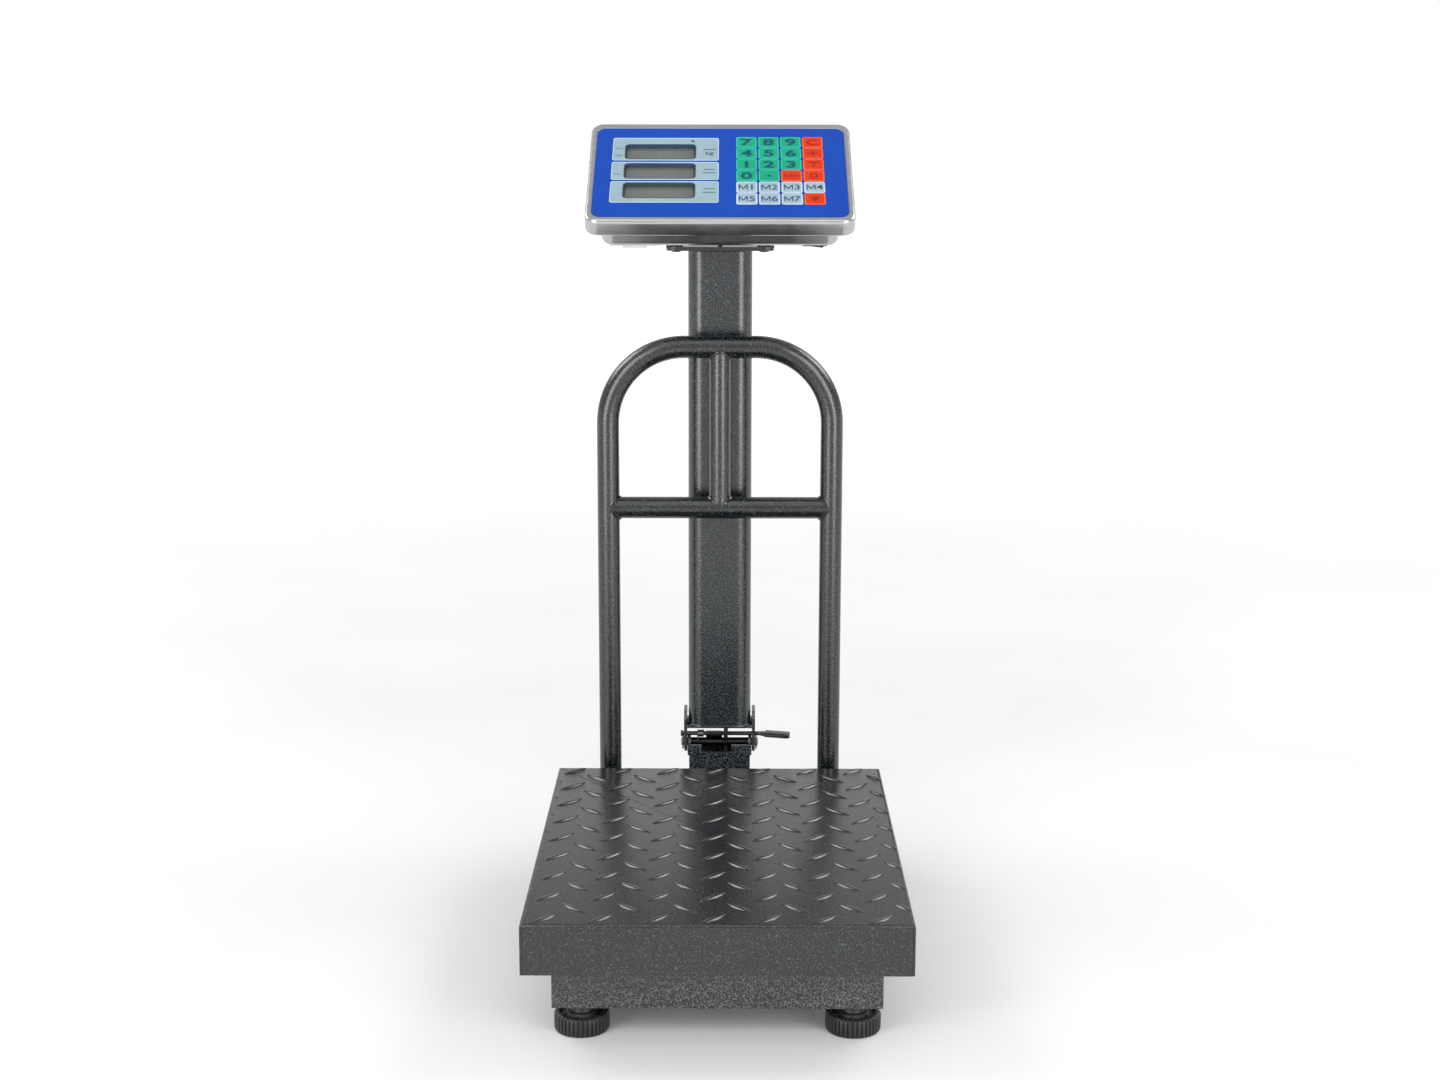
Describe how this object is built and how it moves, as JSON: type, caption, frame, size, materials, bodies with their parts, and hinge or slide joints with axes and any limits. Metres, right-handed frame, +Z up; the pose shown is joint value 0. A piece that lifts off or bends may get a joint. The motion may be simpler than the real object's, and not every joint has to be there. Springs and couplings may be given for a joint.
{
  "type": "folding platform scale",
  "caption": "Folding platform scale with a tread-plate cover, levelling feet, guard rail, folding column and a sloping price-computing display head.",
  "frame": {"origin": "centre of the weighing surface, the platform cover's upper face", "axes": "+Z up out of the weighing surface, +X to the user's right, +Y back towards the column"},
  "size_m": [0.3, 0.5246, 0.6937],
  "materials": {
    "cover_paint": "semi-gloss anthracite hammertone over tread plate",
    "frame_paint": "semi-gloss anthracite hammertone",
    "guard_paint": "semi-gloss anthracite hammertone",
    "column_paint": "semi-gloss anthracite hammertone",
    "bracket_paint": "semi-gloss dark paint",
    "stainless": "brushed stainless steel",
    "zinc_steel": "zinc-plated steel",
    "aluminium": "machined aluminium",
    "rubber": "black rubber",
    "foot_plastic": "moulded black plastic",
    "black_plastic": "black moulded plastic",
    "pale_plastic": "pale grey moulded plastic",
    "panel_blue": "printed polycarbonate film, blue",
    "display_lens": "grey-green liquid crystal behind a clear window",
    "board_green": "green circuit board",
    "key_digit": "green key",
    "key_action": "orange-red key",
    "key_memory": "pale blue-grey key",
    "cable_jacket": "black cable jacket"
  },
  "bodies": {
    "base": {"base_frame": "frame_paint", "platform_frame": "frame_paint", "cover_pads": "rubber", "load_cell": "aluminium", "frame_fasteners": "zinc_steel", "guard_hoop": "guard_paint", "guard_bars": "guard_paint", "rear_bracket": "frame_paint", "hinge_lower_bracket": "bracket_paint", "hinge_pin": "zinc_steel"},
    "cover": {"platform_cover": "cover_paint"},
    "column": {"column_tube": "column_paint", "column_top_plate": "column_paint", "hinge_upper_bracket": "bracket_paint", "latch_spring": "zinc_steel", "head_bracket": "column_paint", "head_bolts": "zinc_steel", "head_pan": "stainless", "head_lid": "stainless", "front_overlay": "panel_blue", "display_modules": "display_lens", "circuit_board": "board_green", "battery": "black_plastic", "charger_jack": "black_plastic", "signal_cable": "cable_jacket"},
    "latch": {"latch_rod": "bracket_paint"},
    "battery_door": {"battery_door": "pale_plastic"},
    "power_rocker": {"power_rocker": "black_plastic"},
    "key_7": {"key_7": "key_digit"},
    "key_8": {"key_8": "key_digit"},
    "key_9": {"key_9": "key_digit"},
    "key_clear": {"key_clear": "key_action"},
    "key_4": {"key_4": "key_digit"},
    "key_5": {"key_5": "key_digit"},
    "key_6": {"key_6": "key_digit"},
    "key_add": {"key_add": "key_action"},
    "key_1": {"key_1": "key_digit"},
    "key_2": {"key_2": "key_digit"},
    "key_3": {"key_3": "key_digit"},
    "key_tare": {"key_tare": "key_action"},
    "key_0": {"key_0": "key_digit"},
    "key_dot": {"key_dot": "key_digit"},
    "key_store": {"key_store": "key_action"},
    "key_zero": {"key_zero": "key_action"},
    "key_m1": {"key_m1": "key_memory"},
    "key_m2": {"key_m2": "key_memory"},
    "key_m3": {"key_m3": "key_memory"},
    "key_m4": {"key_m4": "key_memory"},
    "key_m5": {"key_m5": "key_memory"},
    "key_m6": {"key_m6": "key_memory"},
    "key_m7": {"key_m7": "key_memory"},
    "key_lamp": {"key_lamp": "key_action"},
    "foot_stud_fl": {"foot_stud_fl": "zinc_steel"},
    "foot_wheel_fl": {"foot_wheel_fl": "foot_plastic"},
    "foot_stud_fr": {"foot_stud_fr": "zinc_steel"},
    "foot_wheel_fr": {"foot_wheel_fr": "foot_plastic"},
    "foot_stud_rl": {"foot_stud_rl": "zinc_steel"},
    "foot_wheel_rl": {"foot_wheel_rl": "foot_plastic"},
    "foot_stud_rr": {"foot_stud_rr": "zinc_steel"},
    "foot_wheel_rr": {"foot_wheel_rr": "foot_plastic"}
  },
  "joints": [
    {"name": "cover_lift", "type": "slide", "parent": "base", "child": "cover", "axis": [0, 0, 1], "range_m": [0, 0.06]},
    {"name": "column_fold", "type": "hinge", "parent": "base", "child": "column", "pos_m": [0, 0.267, 0.006], "axis": [-1, 0, 0], "range_deg": [0, 90], "deforming": ["signal_cable"]},
    {"name": "latch_turn", "type": "hinge", "parent": "column", "child": "latch", "pos_m": [0, 0.257, 0.017], "axis": [1, 0, 0], "range_deg": [0, 15], "stiffness_Nm_per_rad": 0.12, "springref_deg": -14.32},
    {"name": "battery_door_slide", "type": "slide", "parent": "column", "child": "battery_door", "axis": [0, -0.8572, -0.515], "range_m": [0, 0.05]},
    {"name": "power_rock", "type": "hinge", "parent": "column", "child": "power_rocker", "pos_m": [0.085, 0.21777, 0.48947], "axis": [0, -0.8572, -0.515], "range_deg": [0, 16]},
    {"name": "key_7_press", "type": "slide", "parent": "column", "child": "key_7", "axis": [0, 0.515, -0.8572], "range_m": [0, 0.0008], "stiffness_N_per_m": 1200, "springref_m": -0.0004},
    {"name": "key_8_press", "type": "slide", "parent": "column", "child": "key_8", "axis": [0, 0.515, -0.8572], "range_m": [0, 0.0008], "stiffness_N_per_m": 1200, "springref_m": -0.0004},
    {"name": "key_9_press", "type": "slide", "parent": "column", "child": "key_9", "axis": [0, 0.515, -0.8572], "range_m": [0, 0.0008], "stiffness_N_per_m": 1200, "springref_m": -0.0004},
    {"name": "key_clear_press", "type": "slide", "parent": "column", "child": "key_clear", "axis": [0, 0.515, -0.8572], "range_m": [0, 0.0008], "stiffness_N_per_m": 1200, "springref_m": -0.0004},
    {"name": "key_4_press", "type": "slide", "parent": "column", "child": "key_4", "axis": [0, 0.515, -0.8572], "range_m": [0, 0.0008], "stiffness_N_per_m": 1200, "springref_m": -0.0004},
    {"name": "key_5_press", "type": "slide", "parent": "column", "child": "key_5", "axis": [0, 0.515, -0.8572], "range_m": [0, 0.0008], "stiffness_N_per_m": 1200, "springref_m": -0.0004},
    {"name": "key_6_press", "type": "slide", "parent": "column", "child": "key_6", "axis": [0, 0.515, -0.8572], "range_m": [0, 0.0008], "stiffness_N_per_m": 1200, "springref_m": -0.0004},
    {"name": "key_add_press", "type": "slide", "parent": "column", "child": "key_add", "axis": [0, 0.515, -0.8572], "range_m": [0, 0.0008], "stiffness_N_per_m": 1200, "springref_m": -0.0004},
    {"name": "key_1_press", "type": "slide", "parent": "column", "child": "key_1", "axis": [0, 0.515, -0.8572], "range_m": [0, 0.0008], "stiffness_N_per_m": 1200, "springref_m": -0.0004},
    {"name": "key_2_press", "type": "slide", "parent": "column", "child": "key_2", "axis": [0, 0.515, -0.8572], "range_m": [0, 0.0008], "stiffness_N_per_m": 1200, "springref_m": -0.0004},
    {"name": "key_3_press", "type": "slide", "parent": "column", "child": "key_3", "axis": [0, 0.515, -0.8572], "range_m": [0, 0.0008], "stiffness_N_per_m": 1200, "springref_m": -0.0004},
    {"name": "key_tare_press", "type": "slide", "parent": "column", "child": "key_tare", "axis": [0, 0.515, -0.8572], "range_m": [0, 0.0008], "stiffness_N_per_m": 1200, "springref_m": -0.0004},
    {"name": "key_0_press", "type": "slide", "parent": "column", "child": "key_0", "axis": [0, 0.515, -0.8572], "range_m": [0, 0.0008], "stiffness_N_per_m": 1200, "springref_m": -0.0004},
    {"name": "key_dot_press", "type": "slide", "parent": "column", "child": "key_dot", "axis": [0, 0.515, -0.8572], "range_m": [0, 0.0008], "stiffness_N_per_m": 1200, "springref_m": -0.0004},
    {"name": "key_store_press", "type": "slide", "parent": "column", "child": "key_store", "axis": [0, 0.515, -0.8572], "range_m": [0, 0.0008], "stiffness_N_per_m": 1200, "springref_m": -0.0004},
    {"name": "key_zero_press", "type": "slide", "parent": "column", "child": "key_zero", "axis": [0, 0.515, -0.8572], "range_m": [0, 0.0008], "stiffness_N_per_m": 1200, "springref_m": -0.0004},
    {"name": "key_m1_press", "type": "slide", "parent": "column", "child": "key_m1", "axis": [0, 0.515, -0.8572], "range_m": [0, 0.0008], "stiffness_N_per_m": 1200, "springref_m": -0.0004},
    {"name": "key_m2_press", "type": "slide", "parent": "column", "child": "key_m2", "axis": [0, 0.515, -0.8572], "range_m": [0, 0.0008], "stiffness_N_per_m": 1200, "springref_m": -0.0004},
    {"name": "key_m3_press", "type": "slide", "parent": "column", "child": "key_m3", "axis": [0, 0.515, -0.8572], "range_m": [0, 0.0008], "stiffness_N_per_m": 1200, "springref_m": -0.0004},
    {"name": "key_m4_press", "type": "slide", "parent": "column", "child": "key_m4", "axis": [0, 0.515, -0.8572], "range_m": [0, 0.0008], "stiffness_N_per_m": 1200, "springref_m": -0.0004},
    {"name": "key_m5_press", "type": "slide", "parent": "column", "child": "key_m5", "axis": [0, 0.515, -0.8572], "range_m": [0, 0.0008], "stiffness_N_per_m": 1200, "springref_m": -0.0004},
    {"name": "key_m6_press", "type": "slide", "parent": "column", "child": "key_m6", "axis": [0, 0.515, -0.8572], "range_m": [0, 0.0008], "stiffness_N_per_m": 1200, "springref_m": -0.0004},
    {"name": "key_m7_press", "type": "slide", "parent": "column", "child": "key_m7", "axis": [0, 0.515, -0.8572], "range_m": [0, 0.0008], "stiffness_N_per_m": 1200, "springref_m": -0.0004},
    {"name": "key_lamp_press", "type": "slide", "parent": "column", "child": "key_lamp", "axis": [0, 0.515, -0.8572], "range_m": [0, 0.0008], "stiffness_N_per_m": 1200, "springref_m": -0.0004},
    {"name": "foot_fl_screw", "type": "slide", "parent": "base", "child": "foot_stud_fl", "axis": [0, 0, 1], "range_m": [-0.012, 0]},
    {"name": "foot_fl_turn", "type": "hinge", "parent": "foot_stud_fl", "child": "foot_wheel_fl", "pos_m": [-0.106, -0.156, -0.102], "axis": [0, 0, 1], "range_deg": [-2881, 0]},
    {"name": "foot_fr_screw", "type": "slide", "parent": "base", "child": "foot_stud_fr", "axis": [0, 0, 1], "range_m": [-0.012, 0]},
    {"name": "foot_fr_turn", "type": "hinge", "parent": "foot_stud_fr", "child": "foot_wheel_fr", "pos_m": [0.106, -0.156, -0.102], "axis": [0, 0, 1], "range_deg": [-2881, 0]},
    {"name": "foot_rl_screw", "type": "slide", "parent": "base", "child": "foot_stud_rl", "axis": [0, 0, 1], "range_m": [-0.012, 0]},
    {"name": "foot_rl_turn", "type": "hinge", "parent": "foot_stud_rl", "child": "foot_wheel_rl", "pos_m": [-0.106, 0.156, -0.102], "axis": [0, 0, 1], "range_deg": [-2881, 0]},
    {"name": "foot_rr_screw", "type": "slide", "parent": "base", "child": "foot_stud_rr", "axis": [0, 0, 1], "range_m": [-0.012, 0]},
    {"name": "foot_rr_turn", "type": "hinge", "parent": "foot_stud_rr", "child": "foot_wheel_rr", "pos_m": [0.106, 0.156, -0.102], "axis": [0, 0, 1], "range_deg": [-2881, 0]}
  ],
  "couplings": [
    {"joint": "foot_fl_turn", "follows": "foot_fl_screw", "rad_per_m": 4188.8},
    {"joint": "foot_fr_turn", "follows": "foot_fr_screw", "rad_per_m": 4188.8},
    {"joint": "foot_rl_turn", "follows": "foot_rl_screw", "rad_per_m": 4188.8},
    {"joint": "foot_rr_turn", "follows": "foot_rr_screw", "rad_per_m": 4188.8}
  ]
}
